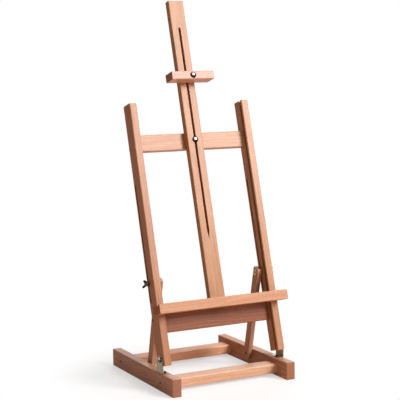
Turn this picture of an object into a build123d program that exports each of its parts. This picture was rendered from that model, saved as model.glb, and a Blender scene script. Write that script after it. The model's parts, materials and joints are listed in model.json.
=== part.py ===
from build123d import *
import os
from math import atan2, cos, hypot, radians, sin

# Wooden artist easel: a rectangular base carries a leaning frame of two slotted uprights and
# two crossbars. A slotted mast with a canvas clamp slides on the frame, a canvas tray slides
# in the uprights' grooves, and two struts with wing screws hold the frame's lean.
#
# Frame: origin at the centre of the base on the surface it stands on, +X to the right of
# somebody who faces the easel, +Y to the rear, +Z up. Millimetres.

# ---- base ----
BASE_WIDTH = 362.4
BASE_LENGTH = 391.0
RAIL_THICK = 25.6
RAIL_TALL = 47.5
RAIL_ROUND = 2.5
RAIL_END_ROUND = 2.0
CROSS_DEEP = 45.0
CROSS_TALL = 25.5
CROSS_BOTTOM = 7.8
CROSS_ROUND = 3.0
CROSS_SCREW_Z = 22.5
FRONT_CROSS_Y = -120.2
REAR_CROSS_Y = 138.5
RAIL_INNER_X = BASE_WIDTH / 2 - RAIL_THICK

# ---- leaning frame: x across, d to the rear from its front face, s up along the uprights ----
LEAN = 15.6
FRAME_Y = -147.2
FRAME_Z = 72.35
UPRIGHT_LONG = 695.0
UPRIGHT_DEEP = 43.0
UPRIGHT_THICK = 20.5
UPRIGHT_OUTER_X = 179.0
UPRIGHT_INNER_X = UPRIGHT_OUTER_X - UPRIGHT_THICK
UPRIGHT_ROUND = 2.5
GROOVE_FRONT_D = 5.5
GROOVE_WIDE = 9.5
GROOVE_DEEP = 10.0
SLOT_D = 34.0
SLOT_WIDE = 8.0
SLOT_BOTTOM_S = 166.0
SLOT_TOP_S = 480.0
BAR_FRONT_D = 20.6
BAR_THICK = 22.0
BAR_ROUND = 2.0
UPPER_BAR_S = (567.0, 612.0)
LOWER_BAR_S = (84.5, 134.5)
UPPER_SCREW_S = 578.0
LOWER_SCREW_S = 121.0
BAR_SCREW_D = 37.5

# ---- mast and canvas clamp ----
MAST_WIDE = 45.0
MAST_FRONT_D = 0.4
MAST_REAR_D = 20.4
MAST_S = (135.0, 980.0)
MAST_ROUND = 2.0
MAST_SLOT_TIP_S = 315.0
MAST_SLOT_FULL_S = 340.0
MAST_SLOT_TOP_S = 904.0
MAST_SLOT_WIDE = 7.0
MAST_BOLT_S = 589.5
CLAMP_LONG = 126.0
CLAMP_DEEP = 42.0
CLAMP_S = (746.5, 769.0)
CLAMP_ROUND = 2.0

# ---- canvas tray ----
TRAY_LONG = 380.0
TRAY_FRONT_D = -41.0
TRAY_REAR_D = -0.2
TRAY_BOTTOM_S = 132.0
TRAY_LIP_TOP_S = 157.8
TRAY_SHELF_TOP_S = 154.2
TRAY_LIP_THICK = 9.0
TRAY_ROUND = 1.5
GUIDE_LONG = 32.0
GUIDE_S = (135.0, 153.0)
GUIDE_GAP = 0.5
TONGUE_DEEP = 9.0
TRAY_SCREW_INSET = 9.0
TRAY_SCREW_LONG = 26.0

# ---- struts and the leaning frame's pivot ----
PIVOT_D = 20.0
PIVOT_S = 18.0
STRUT_WIDE = 25.5
STRUT_THICK = 12.5
STRUT_OUTER_X = 155.0
STRUT_INNER_X = STRUT_OUTER_X - STRUT_THICK
STRUT_FOOT_Y = 3.5
STRUT_FOOT_Z = 33.5
STRUT_HEAD_S = 217.5
STRUT_END_MARGIN = 12.0
STRUT_HEAD_CUT = 4.0
STRUT_FOOT_CUT = 10.0
STRUT_EDGE_ROUND = 1.0

# ---- sheet-metal pivot brackets ----
SHEET = 2.0
BRACKET_GAP = 0.2
BRACKET_Y = (-137.0, -99.0)
BRACKET_SHOULDER = 9.0
BRACKET_EYE_R = 11.5
BRACKET_FOOT = 20.0
BRACKET_BEND = 3.0
BRACKET_CORNER = 7.0
FOOT_SCREW_X = 167.5
FOOT_SCREW_LONG = 20.0

# ---- fasteners; heads are given as radius, height and the height of the upright rim ----
BOLT_R = 3.0
BOLT_CLEARANCE = 0.1
HOLE_PLAY = 0.1
DOME_HEAD = (8.4, 7.0, 0.8)
PIVOT_HEAD = (7.5, 4.0, 1.4)
FOOT_SCREW_HEAD = (4.2, 2.4, 0.8)
INSERT_HEAD = (9.0, 2.4, 1.2)
INSERT_BARREL_R = 4.5
INSERT_BARREL_LONG = 11.5
WASHER_R = 9.0
WASHER_THICK = 1.5
PIVOT_NUT_R = 4.5
PIVOT_NUT_LONG = 9.0
WING_BOLT_TIP = 14.0
WOOD_SCREW_R = 2.0
WOOD_SCREW_HEAD_R = 4.0
WOOD_SCREW_HEAD_HIGH = 1.6
WOOD_SCREW_LONG = 42.0
HEAD_RECESS = 2.4
STRUT_SCREW_LONG = 26.0
SPACER_R = 6.5
WING_HUB_R = 6.0
WING_HUB_TOP_R = 4.4
WING_HUB_RIM = 1.5
WING_HUB_HIGH = 9.0
WING_ROOT = (4.0, 4.0, 2.8)
WING_LOBE = (9.0, 11.4, 3.3)
WING_THICK = 2.6
WING_TURN = 40.0
SCREW_TIP_GAP = 0.7

SIDES = ((-1, "left"), (1, "right"))
LEAN_SIN = sin(radians(LEAN))
LEAN_COS = cos(radians(LEAN))


def frame_point(x, d, s):
    """A point of the leaning frame, in the easel's own axes."""
    return (x, FRAME_Y + s * LEAN_SIN + d * LEAN_COS, FRAME_Z + s * LEAN_COS - d * LEAN_SIN)


def section_plane(s):
    """Square to the uprights at s: a sketch on it reads (x, d), and extrudes up the uprights."""
    return Plane(origin=frame_point(0, 0, s), x_dir=(1, 0, 0), z_dir=(0, LEAN_SIN, LEAN_COS))


def face_plane(d):
    """Parallel to the frame's front at d: a sketch on it reads (x, s), and extrudes forward."""
    return Plane(origin=frame_point(0, d, 0), x_dir=(1, 0, 0), z_dir=(0, -LEAN_COS, LEAN_SIN))


def front_axis(x, d, s):
    """Origin at a point of the leaning frame, normal straight out of the frame's front."""
    return Plane(origin=frame_point(x, d, s), x_dir=(1, 0, 0), z_dir=(0, -LEAN_COS, LEAN_SIN))


def rear_axis(x, d, s):
    """Origin at a point of the leaning frame, normal straight out of the frame's back."""
    return Plane(origin=frame_point(x, d, s), x_dir=(1, 0, 0), z_dir=(0, LEAN_COS, -LEAN_SIN))


def side_axis(side, x, d, s, turn=0):
    """Origin at a point of the leaning frame, normal outward on the given side. The plane's x
    direction runs up the uprights, turned to the front by turn degrees."""
    lean = radians(LEAN - turn)
    return Plane(
        origin=frame_point(side * x, d, s), x_dir=(0, sin(lean), cos(lean)), z_dir=(side, 0, 0)
    )


def base_axis(side, x, y, z):
    """Origin at a point of the base, normal outward on the given side."""
    return Plane(origin=(side * x, y, z), x_dir=(0, 0, 1), z_dir=(side, 0, 0))


def profile_plane(seat):
    """The plane through a seat's axis on which a turned part's profile is drawn."""
    return Plane(origin=seat.origin, x_dir=seat.x_dir, z_dir=-seat.y_dir)


def save(part, name):
    part.label = name
    export_step(part, f"parts/{name}.step")


# ---- pieces of hardware, each drawn from the seat that its head or flat rests on ----


def add_pin(seat, radius, long):
    """A round shank from the seat into the work."""
    with BuildSketch(seat) as section:
        Circle(radius)
    extrude(section.sketch, amount=-long)


def add_dome(seat, radius, high, rim):
    """A round head with a domed crown that stands on the seat."""
    with BuildSketch(profile_plane(seat)) as profile:
        with BuildLine():
            Polyline((0, high), (0, 0), (radius, 0), (radius, rim))
            sagitta = high - rim
            RadiusArc((radius, rim), (0, high), -(radius**2 + sagitta**2) / (2 * sagitta))
        make_face()
    revolve(profile.sketch, axis=Axis(seat.origin, seat.z_dir))


def add_button(seat, radius, high, rim):
    """A round head with a flat, bevelled crown that stands on the seat."""
    crown = radius - (high - rim)
    with BuildSketch(profile_plane(seat)) as profile:
        Polygon((0, 0), (radius, 0), (radius, rim), (crown, high), (0, high), align=None)
    revolve(profile.sketch, axis=Axis(seat.origin, seat.z_dir))


def add_wings(seat):
    """A tapered hub with two rounded wings along the seat's own x direction."""
    with BuildSketch(profile_plane(seat)) as hub:
        Polygon(
            (0, 0),
            (WING_HUB_R, 0),
            (WING_HUB_R, WING_HUB_RIM),
            (WING_HUB_TOP_R, WING_HUB_HIGH),
            (0, WING_HUB_HIGH),
            align=None,
        )
    revolve(hub.sketch, axis=Axis(seat.origin, seat.z_dir))
    for way in (-1, 1):
        with BuildSketch(profile_plane(seat)) as wing:
            for across, up, radius in (WING_ROOT, WING_LOBE):
                with Locations((way * across, up)):
                    Circle(radius)
            make_hull()
        extrude(wing.sketch, amount=WING_THICK / 2, both=True)


def build_ring(seat, outer_r, inner_r, thick):
    """A flat washer on the seat."""
    with BuildPart() as ring:
        with BuildSketch(seat):
            Circle(outer_r)
            Circle(inner_r, mode=Mode.SUBTRACT)
        extrude(amount=thick)
    return ring.part


def build_carriage_bolt(seat, long):
    """A dome-headed bolt whose head bears on the seat."""
    with BuildPart() as bolt:
        add_dome(seat, *DOME_HEAD)
        add_pin(seat, BOLT_R, long)
    return bolt.part


def build_wing_nut(seat):
    with BuildPart() as nut:
        add_wings(seat)
        drill(seat.offset(WING_HUB_HIGH), BOLT_R + BOLT_CLEARANCE / 2, WING_HUB_HIGH)
    return nut.part


def build_wood_screws(seats, long):
    """Flat-headed wood screws, one on each seat."""
    with BuildPart() as screws:
        for seat in seats:
            with BuildSketch(seat):
                Circle(WOOD_SCREW_HEAD_R)
            extrude(amount=WOOD_SCREW_HEAD_HIGH)
            add_pin(seat, WOOD_SCREW_R, long)
    return screws.part


def drill_recessed(seat, long):
    """A screw hole whose mouth is sunk so that the head lies below the wood's face."""
    with Locations(seat):
        CounterBoreHole(
            WOOD_SCREW_R + HOLE_PLAY, WOOD_SCREW_HEAD_R + HOLE_PLAY, HEAD_RECESS, depth=long
        )


def drill(seat, radius, deep):
    with Locations(seat):
        Hole(radius, depth=deep)


# ---- base: two side rails joined by two cross rails ----


def build_base():
    rail_screw_long = WOOD_SCREW_LONG + HEAD_RECESS
    rail_centre_x = BASE_WIDTH / 2 - RAIL_THICK / 2
    cross_z = CROSS_BOTTOM + CROSS_TALL / 2
    pivot_y = frame_point(0, PIVOT_D, PIVOT_S)[1]

    for side, hand in SIDES:
        with BuildPart() as rail:
            with BuildSketch(Plane.XZ.offset(-BASE_LENGTH / 2)):
                with Locations((side * rail_centre_x, RAIL_TALL / 2)):
                    RectangleRounded(RAIL_THICK, RAIL_TALL, RAIL_ROUND)
            extrude(amount=BASE_LENGTH)
            fillet(rail.faces().filter_by(Axis.Y).edges(), RAIL_END_ROUND)
            for cross_y in (FRONT_CROSS_Y, REAR_CROSS_Y):
                drill_recessed(base_axis(side, BASE_WIDTH / 2, cross_y, CROSS_SCREW_Z), RAIL_THICK)
            drill(
                base_axis(-side, -RAIL_INNER_X, STRUT_FOOT_Y, STRUT_FOOT_Z),
                WOOD_SCREW_R + HOLE_PLAY,
                STRUT_SCREW_LONG + STRUT_INNER_X + HEAD_RECESS - RAIL_INNER_X,
            )
            drill(
                Plane(origin=(side * FOOT_SCREW_X, pivot_y, RAIL_TALL)),
                WOOD_SCREW_R + HOLE_PLAY,
                FOOT_SCREW_LONG,
            )
        save(rail.part, f"{hand}_side_rail")

    for cross_y, name in ((FRONT_CROSS_Y, "front_cross_rail"), (REAR_CROSS_Y, "rear_cross_rail")):
        with BuildPart() as cross:
            with BuildSketch(Plane.YZ.offset(-RAIL_INNER_X)):
                with Locations((cross_y, cross_z)):
                    RectangleRounded(CROSS_DEEP, CROSS_TALL, CROSS_ROUND)
            extrude(amount=2 * RAIL_INNER_X)
            for side, hand in SIDES:
                drill(
                    base_axis(side, RAIL_INNER_X, cross_y, CROSS_SCREW_Z),
                    WOOD_SCREW_R + HOLE_PLAY,
                    rail_screw_long - RAIL_THICK,
                )
        save(cross.part, name)

    seats = [
        base_axis(side, BASE_WIDTH / 2 - HEAD_RECESS, cross_y, CROSS_SCREW_Z)
        for side, hand in SIDES
        for cross_y in (FRONT_CROSS_Y, REAR_CROSS_Y)
    ]
    save(build_wood_screws(seats, WOOD_SCREW_LONG - HEAD_RECESS), "rail_screws")


# ---- pivots: sheet brackets on the rails, with bolts in barrel nuts that the uprights turn on ----


def build_pivots():
    pivot_y, pivot_z = frame_point(0, PIVOT_D, PIVOT_S)[1:]
    flange_inner_x = UPRIGHT_OUTER_X + BRACKET_GAP
    flange_outer_x = flange_inner_x + SHEET
    foot_inner_x = flange_outer_x - BRACKET_FOOT
    flange_top_z = pivot_z + BRACKET_EYE_R
    bracket_long = BRACKET_Y[1] - BRACKET_Y[0]
    bracket_mid_y = sum(BRACKET_Y) / 2

    for side, hand in SIDES:
        inmost = 0 if side > 0 else -1
        outmost = -1 - inmost
        with BuildPart() as bracket:
            with BuildSketch(Plane.XZ.offset(-bracket_mid_y)) as angle:
                Polygon(
                    (side * foot_inner_x, RAIL_TALL),
                    (side * flange_outer_x, RAIL_TALL),
                    (side * flange_outer_x, flange_top_z),
                    (side * flange_inner_x, flange_top_z),
                    (side * flange_inner_x, RAIL_TALL + SHEET),
                    (side * foot_inner_x, RAIL_TALL + SHEET),
                    align=None,
                )
                fillet(angle.vertices().group_by(Axis.Y)[0].sort_by(Axis.X)[outmost], BRACKET_BEND)
            extrude(amount=bracket_long / 2, both=True)
            with BuildSketch(Plane.YZ.offset(side * flange_outer_x)):
                with Locations((pivot_y, pivot_z)):
                    Circle(BRACKET_EYE_R)
                shoulder_high = pivot_z - BRACKET_SHOULDER - RAIL_TALL
                with Locations((bracket_mid_y, RAIL_TALL + shoulder_high / 2)):
                    Rectangle(bracket_long, shoulder_high)
                make_hull()
            extrude(amount=-side * BRACKET_FOOT, mode=Mode.INTERSECT)
            fillet(bracket.edges().filter_by(Axis.Z).group_by(Axis.X)[inmost], BRACKET_CORNER)
            drill(
                base_axis(side, flange_outer_x, pivot_y, pivot_z), BOLT_R + HOLE_PLAY, 2 * SHEET
            )
            drill(
                Plane(origin=(side * FOOT_SCREW_X, pivot_y, RAIL_TALL + SHEET)),
                WOOD_SCREW_R + HOLE_PLAY,
                SHEET,
            )
        save(bracket.part, f"{hand}_pivot_bracket")

        seat = base_axis(side, flange_outer_x, pivot_y, pivot_z)
        with BuildPart() as bolt:
            add_button(seat, *PIVOT_HEAD)
            add_pin(seat, BOLT_R, SHEET + BRACKET_GAP + PIVOT_NUT_LONG)
        save(bolt.part, f"{hand}_pivot_bolt")

    with BuildPart() as nuts:
        for side, hand in SIDES:
            with BuildSketch(side_axis(side, UPRIGHT_OUTER_X, PIVOT_D, PIVOT_S)):
                Circle(PIVOT_NUT_R)
                Circle(BOLT_R + HOLE_PLAY, mode=Mode.SUBTRACT)
            extrude(amount=-PIVOT_NUT_LONG)
    save(nuts.part, "pivot_nuts")

    with BuildPart() as foot_screws:
        for side, hand in SIDES:
            seat = Plane(origin=(side * FOOT_SCREW_X, pivot_y, RAIL_TALL + SHEET))
            add_button(seat, *FOOT_SCREW_HEAD)
            add_pin(seat, WOOD_SCREW_R, FOOT_SCREW_LONG)
    save(foot_screws.part, "bracket_foot_screws")


# ---- leaning frame: slotted and grooved uprights, two crossbars ----


def build_uprights():
    groove_d = GROOVE_FRONT_D + GROOVE_WIDE / 2
    for side, hand in SIDES:
        with BuildPart() as upright:
            with BuildSketch(section_plane(0)):
                with Locations((side * (UPRIGHT_OUTER_X - UPRIGHT_THICK / 2), UPRIGHT_DEEP / 2)):
                    RectangleRounded(UPRIGHT_THICK, UPRIGHT_DEEP, UPRIGHT_ROUND)
                with Locations((side * (UPRIGHT_INNER_X + GROOVE_DEEP / 2), groove_d)):
                    Rectangle(GROOVE_DEEP, GROOVE_WIDE, mode=Mode.SUBTRACT)
            extrude(amount=UPRIGHT_LONG)
            with BuildSketch(side_axis(side, UPRIGHT_OUTER_X, SLOT_D, 0)):
                with Locations(((SLOT_TOP_S + SLOT_BOTTOM_S) / 2, 0)):
                    SlotOverall(SLOT_TOP_S - SLOT_BOTTOM_S, SLOT_WIDE)
            extrude(amount=-UPRIGHT_THICK, mode=Mode.SUBTRACT)
            drill(
                side_axis(side, UPRIGHT_OUTER_X, PIVOT_D, PIVOT_S),
                PIVOT_NUT_R + BOLT_CLEARANCE,
                PIVOT_NUT_LONG + BRACKET_GAP,
            )
            for screw_s in (UPPER_SCREW_S, LOWER_SCREW_S):
                drill_recessed(side_axis(side, UPRIGHT_OUTER_X, BAR_SCREW_D, screw_s), UPRIGHT_THICK)
        save(upright.part, f"{hand}_upright")


def build_crossbars():
    seats = []
    bars = (
        (UPPER_BAR_S, UPPER_SCREW_S, "upper_crossbar"),
        (LOWER_BAR_S, LOWER_SCREW_S, "lower_crossbar"),
    )
    for (low_s, high_s), screw_s, name in bars:
        bar_s = (low_s + high_s) / 2
        with BuildPart() as bar:
            with BuildSketch(side_axis(1, -UPRIGHT_INNER_X, BAR_FRONT_D + BAR_THICK / 2, bar_s)):
                RectangleRounded(high_s - low_s, BAR_THICK, BAR_ROUND)
            extrude(amount=2 * UPRIGHT_INNER_X)
            for side, hand in SIDES:
                drill(
                    side_axis(side, UPRIGHT_INNER_X, BAR_SCREW_D, screw_s),
                    WOOD_SCREW_R + HOLE_PLAY,
                    WOOD_SCREW_LONG - UPRIGHT_THICK + HEAD_RECESS,
                )
                seats.append(side_axis(side, UPRIGHT_OUTER_X - HEAD_RECESS, BAR_SCREW_D, screw_s))
            if name == "upper_crossbar":
                drill(front_axis(0, BAR_FRONT_D, MAST_BOLT_S), BOLT_R + HOLE_PLAY, BAR_THICK)
        save(bar.part, name)
    save(build_wood_screws(seats, WOOD_SCREW_LONG - HEAD_RECESS), "crossbar_screws")


# ---- mast with its long slot, and the clamp that slides on it ----


def build_mast():
    half_slot = MAST_SLOT_WIDE / 2
    with BuildPart() as mast:
        with BuildSketch(section_plane(MAST_S[0])):
            with Locations((0, (MAST_FRONT_D + MAST_REAR_D) / 2)):
                RectangleRounded(MAST_WIDE, MAST_REAR_D - MAST_FRONT_D, MAST_ROUND)
        extrude(amount=MAST_S[1] - MAST_S[0])
        with BuildSketch(face_plane(MAST_REAR_D)):
            with BuildLine():
                slot_line = Polyline(
                    (-half_slot, MAST_SLOT_TOP_S - half_slot),
                    (-half_slot, MAST_SLOT_FULL_S),
                    (0, MAST_SLOT_TIP_S),
                    (half_slot, MAST_SLOT_FULL_S),
                    (half_slot, MAST_SLOT_TOP_S - half_slot),
                )
                ThreePointArc(slot_line @ 1, (0, MAST_SLOT_TOP_S), slot_line @ 0)
            make_face()
        extrude(amount=MAST_REAR_D - MAST_FRONT_D, mode=Mode.SUBTRACT)
    save(mast.part, "mast")

    bar_rear_d = BAR_FRONT_D + BAR_THICK
    bolt_seat = front_axis(0, MAST_FRONT_D, MAST_BOLT_S)
    save(build_carriage_bolt(bolt_seat, bar_rear_d - MAST_FRONT_D + WING_BOLT_TIP), "mast_bolt")
    save(
        build_ring(rear_axis(0, bar_rear_d, MAST_BOLT_S), WASHER_R, BOLT_R + HOLE_PLAY, WASHER_THICK),
        "mast_washer",
    )
    save(build_wing_nut(rear_axis(0, bar_rear_d + WASHER_THICK, MAST_BOLT_S)), "mast_wing_nut")


def build_clamp():
    clamp_front_d = MAST_FRONT_D - CLAMP_DEEP
    clamp_s = (CLAMP_S[0] + CLAMP_S[1]) / 2
    with BuildPart() as clamp:
        with BuildSketch(face_plane(MAST_FRONT_D)):
            with Locations((0, clamp_s)):
                Rectangle(CLAMP_LONG, CLAMP_S[1] - CLAMP_S[0])
        extrude(amount=CLAMP_DEEP)
        fillet(clamp.edges(), CLAMP_ROUND)
        drill(front_axis(0, clamp_front_d, clamp_s), BOLT_R + HOLE_PLAY, CLAMP_DEEP)
    save(clamp.part, "canvas_clamp")

    bolt_seat = front_axis(0, clamp_front_d, clamp_s)
    save(build_carriage_bolt(bolt_seat, MAST_REAR_D - clamp_front_d + WING_BOLT_TIP), "clamp_bolt")
    save(
        build_ring(rear_axis(0, MAST_REAR_D, clamp_s), WASHER_R, BOLT_R + HOLE_PLAY, WASHER_THICK),
        "clamp_washer",
    )
    save(build_wing_nut(rear_axis(0, MAST_REAR_D + WASHER_THICK, clamp_s)), "clamp_wing_nut")


# ---- canvas tray: a shelf with a raised lip, guided by tongues in the uprights' grooves ----


def build_tray():
    shelf_front_d = TRAY_FRONT_D + TRAY_LIP_THICK
    with BuildPart() as shelf:
        with BuildSketch(face_plane(TRAY_REAR_D)):
            with Locations((0, (TRAY_BOTTOM_S + TRAY_SHELF_TOP_S) / 2)):
                Rectangle(TRAY_LONG, TRAY_SHELF_TOP_S - TRAY_BOTTOM_S)
        extrude(amount=TRAY_REAR_D - shelf_front_d)
    with BuildPart() as lip:
        with BuildSketch(face_plane(shelf_front_d)):
            with Locations((0, (TRAY_BOTTOM_S + TRAY_LIP_TOP_S) / 2)):
                Rectangle(TRAY_LONG, TRAY_LIP_TOP_S - TRAY_BOTTOM_S)
        extrude(amount=TRAY_LIP_THICK)
        fillet(lip.edges(), TRAY_ROUND)
    save(lip.part, "tray_lip")

    guide_outer_x = UPRIGHT_INNER_X - GUIDE_GAP
    guide_inner_x = guide_outer_x - GUIDE_LONG
    tongue_d = (GROOVE_FRONT_D + GUIDE_GAP, GROOVE_FRONT_D + GROOVE_WIDE - GUIDE_GAP)
    screw_s = (GUIDE_S[0] + GUIDE_S[1]) / 2
    seats = []
    for side, hand in SIDES:
        with BuildPart() as guide:
            with BuildSketch(section_plane(GUIDE_S[0])):
                with Locations((side * (guide_inner_x + GUIDE_LONG / 2), (TRAY_REAR_D + tongue_d[1]) / 2)):
                    Rectangle(GUIDE_LONG, tongue_d[1] - TRAY_REAR_D)
                with Locations((side * (guide_outer_x + TONGUE_DEEP / 2), sum(tongue_d) / 2)):
                    Rectangle(TONGUE_DEEP, tongue_d[1] - tongue_d[0])
            extrude(amount=GUIDE_S[1] - GUIDE_S[0])
            for screw_x in (guide_inner_x + TRAY_SCREW_INSET, guide_outer_x - TRAY_SCREW_INSET):
                drill_recessed(rear_axis(side * screw_x, tongue_d[1], screw_s), 2 * tongue_d[1])
                seats.append(rear_axis(side * screw_x, tongue_d[1] - HEAD_RECESS, screw_s))
        save(guide.part, f"{hand}_tray_guide")

    with shelf:
        for seat in seats:
            drill(seat, WOOD_SCREW_R + HOLE_PLAY, TRAY_SCREW_LONG)
    save(shelf.part, "tray_shelf")
    save(build_wood_screws(seats, TRAY_SCREW_LONG), "tray_screws")


# ---- struts: each turns on the rail's pivot screw and is held to the upright's slot ----


def build_struts():
    foot_y, foot_z = STRUT_FOOT_Y, STRUT_FOOT_Z
    head_y, head_z = frame_point(0, SLOT_D, STRUT_HEAD_S)[1:]
    strut_long = hypot(head_y - foot_y, head_z - foot_z)
    strut_lean = atan2(head_y - foot_y, head_z - foot_z)
    across = (0, cos(strut_lean), -sin(strut_lean))
    half = STRUT_WIDE / 2
    top = strut_long + STRUT_END_MARGIN
    bottom = -STRUT_END_MARGIN
    screw_seats = []

    for side, hand in SIDES:
        outline = Plane(origin=(side * STRUT_INNER_X, foot_y, foot_z), x_dir=across, z_dir=(1, 0, 0))
        head_seat = Plane(
            origin=(side * STRUT_INNER_X, head_y, head_z), x_dir=across, z_dir=(-side, 0, 0)
        )
        with BuildPart() as strut:
            with BuildSketch(outline):
                Polygon(
                    (half, top),
                    (STRUT_HEAD_CUT - half, top),
                    (-half, top - STRUT_HEAD_CUT),
                    (-half, bottom),
                    (half - STRUT_FOOT_CUT, bottom),
                    (half, bottom + STRUT_FOOT_CUT),
                    align=None,
                )
            extrude(amount=side * STRUT_THICK)
            fillet(strut.faces().filter_by(Axis.X).edges(), STRUT_EDGE_ROUND)
            drill_recessed(base_axis(-side, -STRUT_INNER_X, foot_y, foot_z), STRUT_THICK)
            drill(head_seat, INSERT_BARREL_R + HOLE_PLAY, STRUT_THICK)
        save(strut.part, f"{hand}_strut")
        screw_seats.append(base_axis(-side, -STRUT_INNER_X - HEAD_RECESS, foot_y, foot_z))

        with BuildPart() as insert:
            add_button(head_seat, *INSERT_HEAD)
            add_pin(head_seat, INSERT_BARREL_R, INSERT_BARREL_LONG)
            drill(head_seat.offset(INSERT_HEAD[1]), BOLT_R, 2 * STRUT_THICK)
        save(insert.part, f"{hand}_insert_nut")

        washer_seat = side_axis(side, UPRIGHT_OUTER_X, SLOT_D, STRUT_HEAD_S, WING_TURN)
        save(
            build_ring(washer_seat, WASHER_R, BOLT_R + HOLE_PLAY, WASHER_THICK),
            f"{hand}_slot_washer",
        )
        screw_seat = washer_seat.offset(WASHER_THICK)
        screw_long = UPRIGHT_OUTER_X + WASHER_THICK - STRUT_OUTER_X - SCREW_TIP_GAP
        with BuildPart() as wing_screw:
            add_wings(screw_seat)
            add_pin(screw_seat, BOLT_R, screw_long)
        save(wing_screw.part, f"{hand}_wing_screw")

    save(build_wood_screws(screw_seats, STRUT_SCREW_LONG), "strut_pivot_screws")

    with BuildPart() as spacers:
        for side, hand in SIDES:
            with BuildSketch(base_axis(side, STRUT_OUTER_X, foot_y, foot_z)):
                Circle(SPACER_R)
                Circle(WOOD_SCREW_R + HOLE_PLAY, mode=Mode.SUBTRACT)
            extrude(amount=RAIL_INNER_X - STRUT_OUTER_X)
    save(spacers.part, "strut_spacers")


os.makedirs("parts", exist_ok=True)
build_base()
build_pivots()
build_uprights()
build_crossbars()
build_mast()
build_clamp()
build_tray()
build_struts()
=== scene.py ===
import json
import math

import bmesh
import bpy
from mathutils import Euler, Matrix, Vector


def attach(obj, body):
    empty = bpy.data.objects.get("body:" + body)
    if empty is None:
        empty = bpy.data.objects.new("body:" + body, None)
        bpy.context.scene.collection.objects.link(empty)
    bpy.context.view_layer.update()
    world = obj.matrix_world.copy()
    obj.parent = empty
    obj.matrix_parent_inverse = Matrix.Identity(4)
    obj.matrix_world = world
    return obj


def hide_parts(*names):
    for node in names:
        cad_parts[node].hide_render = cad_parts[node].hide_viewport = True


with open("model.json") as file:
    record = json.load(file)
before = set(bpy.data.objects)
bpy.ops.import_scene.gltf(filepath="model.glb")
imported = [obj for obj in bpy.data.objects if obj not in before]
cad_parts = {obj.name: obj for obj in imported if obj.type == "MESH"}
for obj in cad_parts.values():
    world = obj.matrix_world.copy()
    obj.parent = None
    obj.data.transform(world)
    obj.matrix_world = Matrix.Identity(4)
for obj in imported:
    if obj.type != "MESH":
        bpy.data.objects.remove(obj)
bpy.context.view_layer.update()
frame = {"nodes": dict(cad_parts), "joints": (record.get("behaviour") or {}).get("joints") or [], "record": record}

MM = 0.001
NODES = frame["nodes"]
SLOTS = {part["node"]: part["material_slot"] for part in frame["record"]["subparts"]}
JOINTS = {joint["name"]: joint for joint in frame["joints"]}

# Directions of the leaning frame and of the struts, as the model's joints give them.
RIGHT = Vector((1, 0, 0))
UP = Vector((0, 0, 1))
FRAME_UP = Vector(JOINTS["mast_slide"]["axis"])
FRAME_REAR = Vector(JOINTS["mast_nut_turn"]["axis"])
LEAN = math.atan2(FRAME_UP.y, FRAME_UP.z)
STRUT = Vector(JOINTS["left_wing_turn"]["pos_m"]) - Vector(JOINTS["left_strut_fold"]["pos_m"])
STRUT_LEAN = math.atan2(STRUT.y, STRUT.z)

# ---------------------------------------------------------------- node graphs


class Graph:
    """The node tree of a material or a world, with a short way to add nodes and join them."""

    def __init__(self, owner):
        self.owner = owner
        owner.use_nodes = True
        self.tree = owner.node_tree
        self.tree.nodes.clear()

    def add(self, kind, inputs=None, **settings):
        node = self.tree.nodes.new("ShaderNode" + kind)
        for key, value in settings.items():
            setattr(node, key, value)
        for key, value in (inputs or {}).items():
            self.join(value, node.inputs[key])
        return node

    def join(self, value, socket):
        if isinstance(value, bpy.types.NodeSocket):
            self.tree.links.new(value, socket)
        else:
            socket.default_value = value

    def math(self, operation, a, b=0.0, clamp=False):
        return self.add("Math", {0: a, 1: b}, operation=operation, use_clamp=clamp).outputs[0]

    def vector(self, operation, a, b=(0, 0, 0)):
        return self.add("VectorMath", {0: a, 1: b}, operation=operation).outputs["Vector"]

    def length(self, a):
        return self.add("VectorMath", {0: a}, operation="LENGTH").outputs["Value"]

    def split(self, a):
        return self.add("SeparateXYZ", {0: a}).outputs

    def mix(self, factor, a, b):
        """A blend of two colours. A Mix node has its colour sockets at these numbers."""
        return self.add("Mix", {0: factor, 6: a, 7: b}, data_type="RGBA").outputs[2]

    def blend(self, factor, a, b):
        """A blend of two shaders."""
        return self.add("MixShader", {0: factor, 1: a.outputs[0], 2: b.outputs[0]})

    def ramp(self, value, low, high):
        """0 below low, 1 above high, smooth between. With low above high, the other way round."""
        if low > high:
            return self.math("SUBTRACT", 1.0, self.ramp(value, high, low))
        inputs = {"Value": value, "From Min": low, "From Max": high}
        return self.add("MapRange", inputs, interpolation_type="SMOOTHSTEP").outputs["Result"]

    def noise(self, place, scale, detail=2.0, roughness=0.5):
        """Noise of about scale cells a metre, one number or one number for each direction."""
        if isinstance(scale, tuple):
            place = self.vector("MULTIPLY", place, scale)
            scale = 1.0
        inputs = {"Vector": place, "Scale": scale, "Detail": detail, "Roughness": roughness}
        return self.add("TexNoise", inputs).outputs["Fac"]

    def bands(self, distance, scale, detail=2.0):
        """Bands of uneven width, about scale of them a metre."""
        inputs = {"W": distance, "Scale": scale, "Detail": detail}
        return self.add("TexNoise", inputs, noise_dimensions="1D").outputs["Fac"]

    def total(self, *terms):
        """The sum of (value, weight) pairs, held between 0 and 1."""
        result = 0.0
        for value, weight in terms:
            result = self.math("ADD", self.math("MULTIPLY", value, weight), result, clamp=True)
        return result

    def finish(self, shader, kind="OutputMaterial"):
        self.add(kind, {"Surface": shader.outputs[0]})
        return self.owner


def rgb(red, green, blue):
    """A linear colour from 0 to 255 display values."""

    def linear(value):
        value /= 255
        return value / 12.92 if value <= 0.04045 else ((value + 0.055) / 1.055) ** 2.4

    return (linear(red), linear(green), linear(blue), 1.0)


def tinted(colour, tint):
    """A colour times a share for red, green and blue."""
    return (*(value * share for value, share in zip(colour, tint)), 1.0)


# ---------------------------------------------------------------- wood

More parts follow.
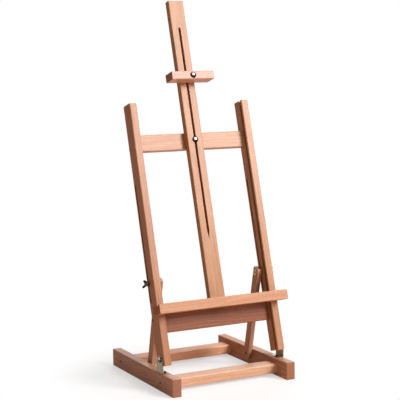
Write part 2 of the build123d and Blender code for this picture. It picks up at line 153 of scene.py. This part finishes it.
# How a board's grain is turned to Z.
ALONG_Y = (math.pi / 2, 0, 0)
ALONG_BASE_X = (0, -math.pi / 2, 0)
ALONG_FRAME_X = (LEAN, -math.pi / 2, 0)
ALONG_FRAME = (LEAN, 0, 0)
ALONG_STRUT = (STRUT_LEAN, 0, 0)

# board: grain direction, colour, strength of the growth rings, where the tree's heart lies (mm)
BOARDS = {
    "left_side_rail": (ALONG_Y, rgb(196, 152, 130), 0.45, (38, 50)),
    "right_side_rail": (ALONG_Y, rgb(195, 148, 121), 0.45, (-44, 36)),
    "front_cross_rail": (ALONG_BASE_X, rgb(220, 178, 150), 0.30, (30, 62)),
    "rear_cross_rail": (ALONG_BASE_X, rgb(224, 170, 138), 0.35, (-52, 30)),
    "left_upright": (ALONG_FRAME, rgb(184, 133, 103), 0.30, (26, 70)),
    "right_upright": (ALONG_FRAME, rgb(188, 142, 110), 0.25, (-60, 44)),
    "upper_crossbar": (ALONG_FRAME_X, rgb(194, 147, 116), 0.26, (20, 48)),
    # The lower crossbar's colour is set darker than the other boards' as painted shade, standing in for the tray's
    # shadow over it.
    "lower_crossbar": (ALONG_FRAME_X, rgb(152, 97, 68), 0.60, (44, -12)),
    "mast": (ALONG_FRAME, rgb(185, 137, 101), 0.30, (-8, 58)),
    "canvas_clamp": (ALONG_FRAME_X, rgb(207, 161, 143), 0.22, (46, 40)),
    "tray_shelf": (ALONG_FRAME_X, rgb(194, 143, 113), 0.30, (52, 24)),
    "tray_lip": (ALONG_FRAME_X, rgb(200, 150, 119), 0.26, (-30, 66)),
    "left_tray_guide": (ALONG_FRAME_X, rgb(190, 141, 113), 0.30, (35, 35)),
    "right_tray_guide": (ALONG_FRAME_X, rgb(190, 141, 113), 0.30, (-35, 45)),
    "left_strut": (ALONG_STRUT, rgb(194, 150, 125), 0.35, (40, 56)),
    "right_strut": (ALONG_STRUT, rgb(194, 150, 127), 0.35, (-36, 60)),
}

# How many growth rings, and fine lines between them, there are in a metre out from the heart, and
# how far the rings wander from circles, in metres.
RINGS = 300.0
LINES = 1500.0
WANDER_DEPTH = 0.05

# Noise cells a metre: across the grain both ways, and along it.
WANDER = (11, 11, 2.2)
STREAKS = (300, 300, 6)
CLOUD = (30, 30, 7)
MOTTLE = (620, 620, 130)
FIBRE = (1700, 1700, 60)
FLECKS = (1500, 1500, 210)
PORES = 1500.0

# Tints of a board's colour.
PALE = (1.16, 1.18, 1.20)
DARK = (0.76, 0.64, 0.54)
FLECK = (0.58, 0.42, 0.32)
# Pale edges: part wear, part a painted highlight on the arrises.
WEAR_AND_HIGHLIGHT = (1.2, 1.2, 1.2)
# Painted shade: the darker tint that slots and grooves are painted with.
RECESS_SHADE = (0.52, 0.29, 0.20)
END_PALE = (0.78, 0.64, 0.58)
END_DARK = (0.48, 0.34, 0.28)

# How far each tint covers what is under it.
FLECK_COVER = 0.38
WEAR_AND_HIGHLIGHT_COVER = 0.35
# How far the painted shade covers the bottom of slots and grooves.
RECESS_SHADE_COVER = 0.52
END_COVER = 0.9

# Where edges are painted pale, as wear and as a painted highlight, in metres from the edge, and how far
# below a board's outer faces the painted shade of slots and grooves starts and is full.
WEAR_AND_HIGHLIGHT_REACH = (0.0022, 0.0004)
RECESS_SHADE_DEPTH = (0.0010, 0.0050)

# The varnish's coat weight: everywhere, added on faces that don't point left or right, and added
# on faces that point up. End grain soaks up this share of it.
VARNISH = 0.18
VARNISH_FRONT = 0.24
VARNISH_TOP = 0.10
END_SOAK = 0.6


def board_box(node, turn):
    """A board's middle and half size, along its own grain."""
    turned = Euler(turn).to_matrix()
    points = [turned @ vertex.co for vertex in NODES[node].data.vertices]
    low = Vector(min(point[i] for point in points) for i in range(3))
    high = Vector(max(point[i] for point in points) for i in range(3))
    return tuple((low + high) / 2), tuple((high - low) / 2)


def beech(node, turn, colour, figure, heart):
    """Steamed beech under thin varnish: growth rings, streaks, fibres, flecks, end grain, edges
    painted pale as wear and as a painted highlight, and painted shade in slots and grooves."""
    graph = Graph(bpy.data.materials.new(node))
    middle, half = board_box(node, turn)
    coords = graph.add("TexCoord")
    turned = graph.add("Mapping", {"Vector": coords.outputs["Object"], "Rotation": turn})
    facing = graph.add(
        "Mapping", {"Vector": coords.outputs["Normal"], "Rotation": turn}, vector_type="NORMAL"
    )
    place = graph.vector("SUBTRACT", turned.outputs[0], middle)

    x, y, _ = graph.split(place)
    wander = graph.noise(place, WANDER)
    from_heart = graph.add(
        "CombineXYZ",
        {0: graph.math("ADD", x, heart[0] * MM), 1: graph.math("ADD", y, heart[1] * MM)},
    ).outputs[0]
    bulge = graph.math("MULTIPLY", wander, WANDER_DEPTH)
    radius = graph.math("ADD", graph.length(from_heart), bulge)
    rings = graph.ramp(graph.bands(radius, RINGS), 0.36, 0.68)
    lines = graph.bands(radius, LINES, 1.0)
    streaks = graph.noise(place, STREAKS)
    cloud = graph.noise(place, CLOUD, 3.0, 0.55)
    mottle = graph.noise(place, MOTTLE, 1.0)
    fibre = graph.noise(place, FIBRE, 3.0, 0.6)
    flecks = graph.ramp(graph.noise(place, FLECKS, 1.0, 0.4), 0.60, 0.70)

    tone = graph.total(
        (rings, figure),
        (graph.ramp(lines, 0.35, 0.7), 0.10 + 0.2 * figure),
        (graph.ramp(streaks, 0.32, 0.70), 0.24),
        (graph.ramp(cloud, 0.3, 0.72), 0.20),
        (graph.ramp(mottle, 0.38, 0.66), 0.18),
        (graph.ramp(fibre, 0.35, 0.7), 0.16),
    )
    shade = graph.mix(tone, tinted(colour, PALE), tinted(colour, DARK))
    fleck_cover = graph.math("MULTIPLY", flecks, FLECK_COVER)
    shade = graph.mix(fleck_cover, shade, tinted(colour, FLECK))

    gaps = graph.split(graph.vector("SUBTRACT", half, graph.vector("ABSOLUTE", place)))
    nearer = graph.math("MINIMUM", gaps[0], gaps[1])
    further = graph.math("MAXIMUM", gaps[0], gaps[1])
    to_edge = graph.math("MAXIMUM", nearer, graph.math("MINIMUM", further, gaps[2]))
    # Edges painted paler in patches, part wear and part a painted highlight; they are also made less glossy.
    wear_and_highlight = graph.math(
        "MULTIPLY", graph.ramp(to_edge, *WEAR_AND_HIGHLIGHT_REACH), graph.ramp(wander, 0.35, 0.62)
    )
    wear_and_highlight_cover = graph.math("MULTIPLY", wear_and_highlight, WEAR_AND_HIGHLIGHT_COVER)
    shade = graph.mix(wear_and_highlight_cover, shade, tinted(colour, WEAR_AND_HIGHLIGHT))

    # Painted shade: slots and grooves are darkened, more so the deeper they go.
    recessed = graph.ramp(graph.math("MINIMUM", nearer, gaps[2]), *RECESS_SHADE_DEPTH)
    recess_shade_cover = graph.math("MULTIPLY", recessed, RECESS_SHADE_COVER)
    shade = graph.mix(recess_shade_cover, shade, tinted(colour, RECESS_SHADE))

    end = graph.ramp(graph.math("ABSOLUTE", graph.split(facing.outputs[0])[2]), 0.6, 0.9)
    pores = graph.noise(place, PORES, 2.0, 0.6)
    end_tone = graph.total((pores, 0.7), (rings, 0.5))
    end_shade = graph.mix(end_tone, tinted(colour, END_PALE), tinted(colour, END_DARK))
    shade = graph.mix(graph.math("MULTIPLY", end, END_COVER), shade, end_shade)

    gloss = graph.math("ADD", graph.math("MULTIPLY", fibre, 0.16), 0.20)
    gloss = graph.math("SUBTRACT", gloss, graph.math("MULTIPLY", wear_and_highlight, 0.08))
    across, _, upward = graph.split(coords.outputs["Normal"])
    front = graph.ramp(graph.math("ABSOLUTE", across), 0.85, 0.5)
    top = graph.ramp(upward, 0.6, 0.9)
    varnish = graph.total((1.0, VARNISH), (front, VARNISH_FRONT), (top, VARNISH_TOP))
    soaked = graph.total((recessed, 1.0), (end, END_SOAK))
    varnish = graph.math("MULTIPLY", varnish, graph.math("SUBTRACT", 1.0, soaked))
    relief = graph.total((fibre, 0.6), (lines, 0.2), (flecks, 0.2))
    bump = graph.add("Bump", {"Strength": 0.12, "Distance": 0.0004, "Height": relief})
    shader = graph.add(
        "BsdfPrincipled",
        {
            "Base Color": shade,
            "Roughness": 0.6,
            "Normal": bump.outputs[0],
            "Coat Weight": varnish,
            "Coat Roughness": gloss,
            "Coat Normal": bump.outputs[0],
            "Specular IOR Level": 0.0,
        },
    )
    return graph.finish(shader)


# ---------------------------------------------------------------- metal

# The colour of a painted highlight on metal.
HIGHLIGHT_PAINT = rgb(244, 238, 230)

# slot: metal, tarnish, roughness, share that is tarnished
METALS = {
    "bolt_steel": (rgb(60, 46, 38), rgb(34, 23, 17), 0.34, 0.45),
    "bronze_steel": (rgb(112, 96, 74), rgb(40, 32, 24), 0.30, 0.65),
    "insert_brass": (rgb(176, 140, 92), rgb(82, 60, 38), 0.28, 0.55),
    "bracket_steel": (rgb(148, 128, 100), rgb(88, 72, 52), 0.32, 0.45),
    "black_steel": (rgb(56, 42, 34), rgb(24, 17, 13), 0.38, 0.60),
}


def metal(slot, bright, dull, roughness, tarnish):
    """Plated steel or brass: cloudy tarnish, fine scratches, uneven gloss, and a painted highlight
    where a piece's attribute says how bright it is painted."""
    graph = Graph(bpy.data.materials.new(slot))
    place = graph.add("TexCoord").outputs["Object"]
    cloud = graph.noise(place, 260.0, 4.0, 0.6)
    scratches = graph.noise(place, (2600, 2600, 240), 2.0)
    cover = graph.ramp(cloud, 0.75 - tarnish * 0.6, 0.95 - tarnish * 0.45)
    gloss = graph.total((cover, 0.14), (scratches, 0.10), (1.0, roughness))
    wear_and_highlight = graph.add("Attribute", attribute_name="painted_highlight").outputs["Fac"]
    # Painted highlight: the metal is painted bright where the attribute says so.
    shade = graph.mix(wear_and_highlight, graph.mix(cover, bright, dull), HIGHLIGHT_PAINT)
    bump = graph.add("Bump", {"Strength": 0.08, "Distance": 0.0002, "Height": scratches})
    shader = graph.add(
        "BsdfPrincipled",
        {
            "Base Color": shade,
            "Metallic": 1.0,
            "Roughness": gloss,
            "Normal": bump.outputs[0],
        },
    )
    return graph.finish(shader)


METAL = {slot: metal(slot, *values) for slot, values in METALS.items()}
for name, node in NODES.items():
    node.data.materials.clear()
    if name in BOARDS:
        node.data.materials.append(beech(name, *BOARDS[name]))
    else:
        node.data.materials.append(METAL[SLOTS[name]])


def soften(node, width):
    """Take the knife edge off a CAD node's corners."""
    bevel = NODES[node].modifiers.new("softened", "BEVEL")
    bevel.width = width
    bevel.segments = 2
    bevel.limit_method = "ANGLE"
    bevel.angle_limit = math.radians(50)
    bevel.harden_normals = True


for name in ("left_upright", "right_upright", "mast", "tray_shelf", "canvas_clamp"):
    soften(name, 0.8 * MM)
for name in ("left_tray_guide", "right_tray_guide", "left_strut", "right_strut"):
    soften(name, 0.5 * MM)
for name in ("left_pivot_bracket", "right_pivot_bracket"):
    soften(name, 0.3 * MM)

# ---------------------------------------------------------------- fasteners

# A fastener is a run of rings from the top of its head down. Their radii and heights are in mm,
# with the head's top at height 0. Each ring has this many points.
TURN = 96

# Faces that meet at less than this are shaded as one surface.
SHARP_ANGLE = math.radians(35)

# Points nearer than this are the same, in metres.
WELD = 1e-6

# An M6 bolt, in mm, and the radius that its square neck's corners are rounded to, as a share of
# the neck's width.
BOLT_RADIUS = 2.95
BOLT_PITCH = 1.0
BOLT_DEEP = 0.45
BOLT_TIP = 0.8
NECK_CORNER = 0.66

BODY_OF = {}
for body, nodes in frame["record"]["behaviour"]["bodies"].items():
    BODY_OF.update((node, body) for node in nodes)


def islands(mesh):
    """The points of each separate solid of a CAD node, always in the same order."""
    whole = bmesh.new()
    whole.from_mesh(mesh)
    bmesh.ops.remove_doubles(whole, verts=whole.verts, dist=WELD)
    reached = set()
    groups = []
    for first in whole.verts:
        if first in reached:
            continue
        reached.add(first)
        front = [first]
        group = []
        while front:
            vertex = front.pop()
            group.append(vertex.co.copy())
            for edge in vertex.link_edges:
                other = edge.other_vert(vertex)
                if other not in reached:
                    reached.add(other)
                    front.append(other)
        groups.append(group)
    whole.free()
    return groups


def middle_along(points, direction):
    reach = [point.dot(direction) for point in points]
    return (min(reach) + max(reach)) / 2


def seats(node, outward):
    """For each solid of a node, the axes with their origin at the head's top and Z out of the
    head, and the solid's length. outward gives the way the head faces from the solid's place."""
    found = []
    for points in islands(NODES[node].data):
        z_axis = outward(sum(points, Vector()) / len(points)).normalized()
        x_axis = RIGHT if abs(z_axis.x) < 0.5 else UP
        y_axis = z_axis.cross(x_axis)
        reach = [point.dot(z_axis) for point in points]
        origin = (
            x_axis * middle_along(points, x_axis)
            + y_axis * middle_along(points, y_axis)
            + z_axis * max(reach)
        )
        axes = Matrix((x_axis, y_axis, z_axis)).transposed().to_4x4()
        found.append((Matrix.Translation(origin) @ axes, (max(reach) - min(reach)) / MM))
    return found


def outward_x(place):
    return RIGHT if place.x > 0 else -RIGHT


def inward_x(place):
    return -outward_x(place)


def round_ring(radius, height):
    return lambda angle: (radius, height)


def flat_sided(sides, half_width, height, limit=1.0):
    """A ring with flat sides. limit rounds its corners off to a circle of that radius."""

    def ring(angle):
        step = 2 * math.pi / sides
        off = (angle + step / 2) % step - step / 2
        return min(half_width / math.cos(off), limit), height

    return ring


def cross_ring(half_width, reach, height):
    """The outline of a cross recess."""

    def ring(angle):
        along, across = abs(math.cos(angle)) + 1e-9, abs(math.sin(angle)) + 1e-9
        arms = (min(reach / along, half_width / across), min(reach / across, half_width / along))
        return max(arms), height

    return ring


def thread_rings(top, bottom, radius, pitch, deep):
    """Rings down a screw thread. The thread tapers off at both ends."""
    count = max(int((top - bottom) / (pitch / 6)), 2)
    rings = []
    for index in range(count + 1):
        height = top + (bottom - top) * index / count
        fade = min(1.0, (top - height) / pitch, (height - bottom) / pitch + 0.3)

        def ring(angle, height=height, fade=fade):
            phase = (height / pitch - angle / (2 * math.pi)) % 1.0
            return radius - deep * fade * (1 - abs(2 * phase - 1)), height

        rings.append(ring)
    return rings


def add_turned(mesh, axes, rings, turn=0.0, capped=(True, True)):
    """Skin a run of rings, given as functions of the angle, about an axis."""
    rows = []
    for ring in rings:
        row = []
        for index in range(TURN):
            angle = 2 * math.pi * index / TURN
            radius, height = ring(angle)
            angle += turn
            place = Vector((radius * math.cos(angle), radius * math.sin(angle), height))
            row.append(mesh.verts.new(axes @ (place * MM)))
        rows.append(row)
    for upper, lower in zip(rows, rows[1:]):
        for index in range(TURN):
            following = (index + 1) % TURN
            mesh.faces.new((upper[index], lower[index], lower[following], upper[following]))
    if capped[0]:
        mesh.faces.new(rows[0])
    if capped[1]:
        mesh.faces.new(list(reversed(rows[-1])))


# The part of a bolt's head where a painted highlight may go, in mm from the middle of its head's top.
HEAD_LOW = -9
HEAD_HIGH = 1
HEAD_REACH = 10


def painted_highlight(mesh, axes, share):
    """Note how bright a painted highlight makes each point of a head, from its place in mm."""
    layer = mesh.verts.layers.float.get("painted_highlight") or mesh.verts.layers.float.new("painted_highlight")
    back = axes.inverted()
    for vertex in mesh.verts:
        place = back @ vertex.co / MM
        if HEAD_LOW < place.z < HEAD_HIGH and place.to_2d().length < HEAD_REACH:
            vertex[layer] = min(max(share(place), 0.0), 1.0)


def make_piece(node, mesh, look=None):
    """Turn mesh code into a piece that stands for a CAD node and moves with its body."""
    name = node + "_detail"
    bmesh.ops.recalc_face_normals(mesh, faces=mesh.faces)
    for edge in mesh.edges:
        edge.smooth = len(edge.link_faces) == 2 and edge.calc_face_angle(0.0) < SHARP_ANGLE
    for face in mesh.faces:
        face.smooth = True
    data = bpy.data.meshes.new(name)
    mesh.to_mesh(data)
    mesh.free()
    data.materials.append(METAL[look or SLOTS[node]])
    piece = bpy.data.objects.new(name, data)
    bpy.context.scene.collection.objects.link(piece)
    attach(piece, BODY_OF[node])
    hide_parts(node)


def dome_rings(radius, high, rim):
    """Rings from the crown of a domed head down to its rim."""
    steps = 14
    sagitta = high - rim
    ball = (radius**2 + sagitta**2) / (2 * sagitta)
    widest = math.atan2(radius, ball - sagitta)
    rings = []
    for index in range(1, steps + 1):
        angle = widest * index / steps
        rings.append(round_ring(ball * math.sin(angle), ball * (math.cos(angle) - 1)))
    rings.append(round_ring(radius - 0.02, -sagitta - 0.25))
    rings.append(round_ring(radius - 0.02, -high + 0.25))
    rings.append(round_ring(radius - 0.3, -high))
    return rings


def bolt_end(long, threaded):
    """The plain shank's end, the thread over the last length of an M6 bolt, and its tip."""
    rings = [round_ring(BOLT_RADIUS, threaded - long)]
    rings += thread_rings(threaded - long, BOLT_TIP - long, BOLT_RADIUS, BOLT_PITCH, BOLT_DEEP)
    return rings + [round_ring(2.3, 0.6 - long), round_ring(1.9, -long)]


def painted_highlight_spot(place):
    """A painted highlight on a dome, a little to the side of its crown."""
    if place.z <= -4:
        return 0.0
    return (4.0 - (place.to_2d() - Vector((-2.0, 0.8))).length) / 0.9


def carriage_bolt(node, neck=6.2, head=8.5, high=7.0, neck_long=4.0):
    """A domed bolt with a square neck that sits in the slot, and a threaded end."""
    mesh = bmesh.new()
    for axes, long in seats(node, lambda place: -FRAME_REAR):
        rings = dome_rings(head, high, 0.8)
        rings += [
            flat_sided(4, neck / 2, -high, neck * NECK_CORNER),
            flat_sided(4, neck / 2, -high - neck_long, neck * NECK_CORNER),
            round_ring(BOLT_RADIUS, -high - neck_long - 1.0),
        ]
        add_turned(mesh, axes, rings + bolt_end(long, 26.0))
        # Painted highlight on the dome, to one side of its crown.
        painted_highlight(mesh, axes, painted_highlight_spot)
    make_piece(node, mesh)


def button_bolt(node):
    """A low domed bolt with a six-sided socket, its upper half lightened a little by a painted highlight."""
    mesh = bmesh.new()
    for axes, long in seats(node, outward_x):
        rings = [
            flat_sided(6, 0.3, -2.3, 0.34),
            flat_sided(6, 2.5, -2.0, 2.85),
            flat_sided(6, 2.5, -0.25, 2.85),
            flat_sided(6, 2.75, -0.05, 3.1),
            round_ring(3.4, 0.0),
            round_ring(4.8, -0.35),
            round_ring(6.0, -1.0),
            round_ring(6.9, -1.9),
            round_ring(7.4, -2.9),
            round_ring(7.45, -3.7),
            round_ring(7.2, -4.0),
            round_ring(BOLT_RADIUS, -4.0),
        ]
        add_turned(mesh, axes, rings + bolt_end(long, 12.0))
        up = axes.inverted().to_3x3() @ UP
        # Painted highlight over the upper half of the head.
        painted_highlight(mesh, axes, lambda place: 0.55 if place.dot(up) > 0 and place.z > -1.9 else 0.0)
    make_piece(node, mesh, "bolt_steel")


def wood_screws(node, outward, turn=0.6):
    """Cross-head wood screws: a dished head, a shank and a coarse thread."""
    mesh = bmesh.new()
    for index, (axes, long) in enumerate(seats(node, outward)):
        rings = [
            cross_ring(0.28, 1.0, -1.25),
            cross_ring(0.45, 1.9, -0.15),
            cross_ring(0.55, 2.05, -0.03),
            round_ring(3.1, 0.0),
            round_ring(3.75, -0.10),
            round_ring(3.95, -0.40),
            round_ring(3.9, -0.75),
            round_ring(2.1, -2.6),
            round_ring(1.55, -3.4),
            round_ring(1.5, -long * 0.4),
        ]
        rings += thread_rings(-long * 0.4, -long + 3.2, 1.95, 1.8, 0.6)
        rings += [round_ring(1.2, -long + 2.2), round_ring(0.15, -long)]
        add_turned(mesh, axes, rings, turn + 1.1 * index)
    make_piece(node, mesh)


def pan_screws(node, outward, radius, high, shank, turn=0.4):
    """Low domed screws with a cross recess."""
    mesh = bmesh.new()
    for index, (axes, long) in enumerate(seats(node, outward)):
        reach = radius * 0.46
        rings = [
            cross_ring(0.25, reach * 0.5, -high * 0.62),
            cross_ring(0.42, reach * 0.92, -0.22),
            cross_ring(0.52, reach, -0.08),
            round_ring(radius * 0.62, -high * 0.02),
            round_ring(radius * 0.80, -high * 0.14),
            round_ring(radius * 0.93, -high * 0.36),
            round_ring(radius * 0.99, -high * 0.66),
            round_ring(radius * 0.99, -high + 0.12),
            round_ring(radius * 0.96, -high),
            round_ring(shank, -high),
            round_ring(shank, -long + 0.8),
            round_ring(shank * 0.6, -long),
        ]
        add_turned(mesh, axes, rings, turn + 0.9 * index)
    make_piece(node, mesh)


def insert_nut(node):
    """A flanged insert with a rounded rim and a six-sided socket."""
    mesh = bmesh.new()
    for axes, long in seats(node, inward_x):
        rings = [
            flat_sided(6, 2.6, -long + 0.1, 2.95),
            flat_sided(6, 2.6, -0.9, 2.95),
            flat_sided(6, 3.1, -0.25, 3.45),
            round_ring(4.2, 0.0),
            round_ring(6.8, -0.05),
            round_ring(8.2, -0.55),
            round_ring(8.8, -1.2),
            round_ring(8.95, -1.7),
            round_ring(8.8, -2.3),
            round_ring(8.6, -2.4),
            round_ring(4.2, -2.4),
            round_ring(4.2, -3.0),
        ]
        rings += thread_rings(-3.0, -long + 0.5, 4.45, 2.0, 0.8)
        rings += [round_ring(3.6, -long + 0.1)]
        rings += [flat_sided(6, 2.6, -long + 0.1, 2.95)]
        add_turned(mesh, axes, rings, 0.2, capped=(False, False))
    bmesh.ops.remove_doubles(mesh, verts=mesh.verts, dist=WELD)
    make_piece(node, mesh)


def washer(node, outward):
    """A pressed washer: rounded outside, sharper inside."""
    mesh = bmesh.new()
    for axes, thick in seats(node, outward):
        back = axes.inverted()
        vertices = NODES[node].data.vertices
        outer = max((back @ vertex.co).to_2d().length for vertex in vertices) / MM
        bore = 3.15
        rings = [
            round_ring(bore, -thick),
            round_ring(bore, -0.1),
            round_ring(bore + 0.15, 0.0),
            round_ring(outer - 0.5, 0.0),
            round_ring(outer - 0.12, -0.15),
            round_ring(outer - 0.02, -0.45),
            round_ring(outer - 0.02, -thick + 0.2),
            round_ring(outer - 0.2, -thick),
            round_ring(bore, -thick),
        ]
        add_turned(mesh, axes, rings, capped=(False, False))
    bmesh.ops.remove_doubles(mesh, verts=mesh.verts, dist=WELD)
    make_piece(node, mesh)


carriage_bolt("mast_bolt")
carriage_bolt("clamp_bolt")
wood_screws("rail_screws", outward_x)
wood_screws("crossbar_screws", outward_x)
wood_screws("strut_pivot_screws", inward_x)
wood_screws("tray_screws", lambda place: FRAME_REAR)
pan_screws("bracket_foot_screws", lambda place: UP, 4.2, 2.4, 2.0)
button_bolt("left_pivot_bolt")
button_bolt("right_pivot_bolt")
for name in ("left_insert_nut", "right_insert_nut"):
    insert_nut(name)
for name in ("mast_washer", "clamp_washer"):
    washer(name, lambda place: FRAME_REAR)
for name in ("left_slot_washer", "right_slot_washer"):
    washer(name, outward_x)


def cast(node):
    """Round a CAD node's joints and edges as a casting's are."""
    thing = NODES[node]
    remesh = thing.modifiers.new("cast", "REMESH")
    remesh.mode = "VOXEL"
    remesh.voxel_size = 0.35 * MM
    remesh.use_smooth_shade = True
    relax = thing.modifiers.new("relaxed", "SMOOTH")
    relax.factor = 0.5
    relax.iterations = 5
    thin = thing.modifiers.new("thinned", "DECIMATE")
    thin.ratio = 0.35


for name in ("mast_wing_nut", "clamp_wing_nut", "left_wing_screw", "right_wing_screw"):
    cast(name)

# ---------------------------------------------------------------- camera, floor and light

# The camera as fitted to the photo: its place in metres, its turns, and its lens in mm for a
# sensor 36 mm wide.
CAMERA_PLACE = Vector((-1.4030, -2.7799, 0.8181))
CAMERA_AZIMUTH = math.radians(-26.864)
CAMERA_DOWN = math.radians(6.269)
CAMERA_ROLL = math.radians(-1.048)
CAMERA_LENS = 104.13
SENSOR_WIDTH = 36.0


def make_camera():
    azimuth, down, roll = CAMERA_AZIMUTH, CAMERA_DOWN, CAMERA_ROLL
    back = Vector(
        (math.sin(azimuth) * math.cos(down), -math.cos(azimuth) * math.cos(down), math.sin(down))
    )
    right = Vector((math.cos(azimuth), math.sin(azimuth), 0))
    up = back.cross(right)
    turned_right = math.cos(roll) * right + math.sin(roll) * up
    turned_up = math.cos(roll) * up - math.sin(roll) * right
    data = bpy.data.cameras.new("photo_camera")
    data.lens = CAMERA_LENS
    data.sensor_width = SENSOR_WIDTH
    camera = bpy.data.objects.new("photo_camera", data)
    axes = Matrix((turned_right, turned_up, back)).transposed()
    camera.matrix_world = Matrix.Translation(CAMERA_PLACE) @ axes.to_4x4()
    bpy.context.scene.collection.objects.link(camera)
    bpy.context.scene.camera = camera


# lamp: place, side of its square in metres, power in watts
LAMPS = {
    "key": ((2.34, -3.72, 3.02), 2.1, 285.0),
    "top": ((0.3, -1.0, 4.9), 2.4, 50.0),
    "rear": ((1.7, 3.1, 3.0), 2.2, 70.0),
}

# The point that the lamps face.
LIT_POINT = Vector((0.0, 0.0, 0.5))


def make_light(name, place, size, power):
    data = bpy.data.lights.new(name, "AREA")
    data.shape = "SQUARE"
    data.size = size
    data.energy = power
    light = bpy.data.objects.new(name, data)
    light.location = place
    light.rotation_euler = (Vector(place) - LIT_POINT).to_track_quat("Z", "Y").to_euler()
    bpy.context.scene.collection.objects.link(light)


# The floor's half side, and where its shadow starts to fade into white and has gone, in metres
# from the easel's middle.
FLOOR_HALF = 30.0
SHADOW_REACH = (0.22, 0.44)

# How far the floor is already white next to the easel.
WHITE_SHARE = 0.54

# What the camera sees of the floor's own colour, and what light bounces off.
PAPER = (rgb(246, 243, 242), rgb(250, 248, 247))
BOUNCE = rgb(224, 198, 180)

WHITE = (1.0, 1.0, 1.0, 1.0)

# The world's colour and strength for light that bounces.
FILL = (1.0, 0.82, 0.70, 1.0)
FILL_STRENGTH = 0.18


def seen(graph):
    """1 for what the camera or a reflection sees, 0 for light that bounces."""
    rays = graph.add("LightPath").outputs
    mirrored = graph.math("MAXIMUM", rays["Is Glossy Ray"], rays["Is Transmission Ray"])
    return graph.math("MAXIMUM", rays["Is Camera Ray"], mirrored)


def make_floor():
    """A pale floor, white to the camera, that keeps the easel's soft shadow near the base and
    gives back only a little light from below."""
    graph = Graph(bpy.data.materials.new("floor"))
    place = graph.add("TexCoord").outputs["Object"]
    shown = seen(graph)
    paper = graph.mix(graph.noise(place, 3.0), *PAPER)
    matte = graph.add("BsdfDiffuse", {"Color": graph.mix(shown, BOUNCE, paper)})
    glow = graph.add("Emission", {"Color": WHITE, "Strength": 1.0})
    away = graph.ramp(graph.length(place), *SHADOW_REACH)
    share = graph.math("ADD", graph.math("MULTIPLY", away, 1 - WHITE_SHARE), WHITE_SHARE)
    surface = graph.blend(graph.math("MULTIPLY", shown, share), matte, glow)
    mesh = bpy.data.meshes.new("floor")
    corners = [(-1, -1), (1, -1), (1, 1), (-1, 1)]
    mesh.from_pydata([(x * FLOOR_HALF, y * FLOOR_HALF, 0) for x, y in corners], [], [(0, 1, 2, 3)])
    mesh.materials.append(graph.finish(surface))
    floor = bpy.data.objects.new("floor", mesh)
    bpy.context.scene.collection.objects.link(floor)


def make_world():
    """White where the camera or a reflection sees it, and a weak warm fill for the rest."""
    graph = Graph(bpy.data.worlds.new("studio"))
    fill = graph.add("Background", {"Color": FILL, "Strength": FILL_STRENGTH})
    white = graph.add("Background", {"Color": WHITE, "Strength": 1.0})
    sky = graph.blend(seen(graph), fill, white)
    bpy.context.scene.world = graph.finish(sky, "OutputWorld")


make_camera()
make_floor()
make_world()
for name, values in LAMPS.items():
    make_light(name, *values)
bpy.context.scene.view_settings.view_transform = "Standard"
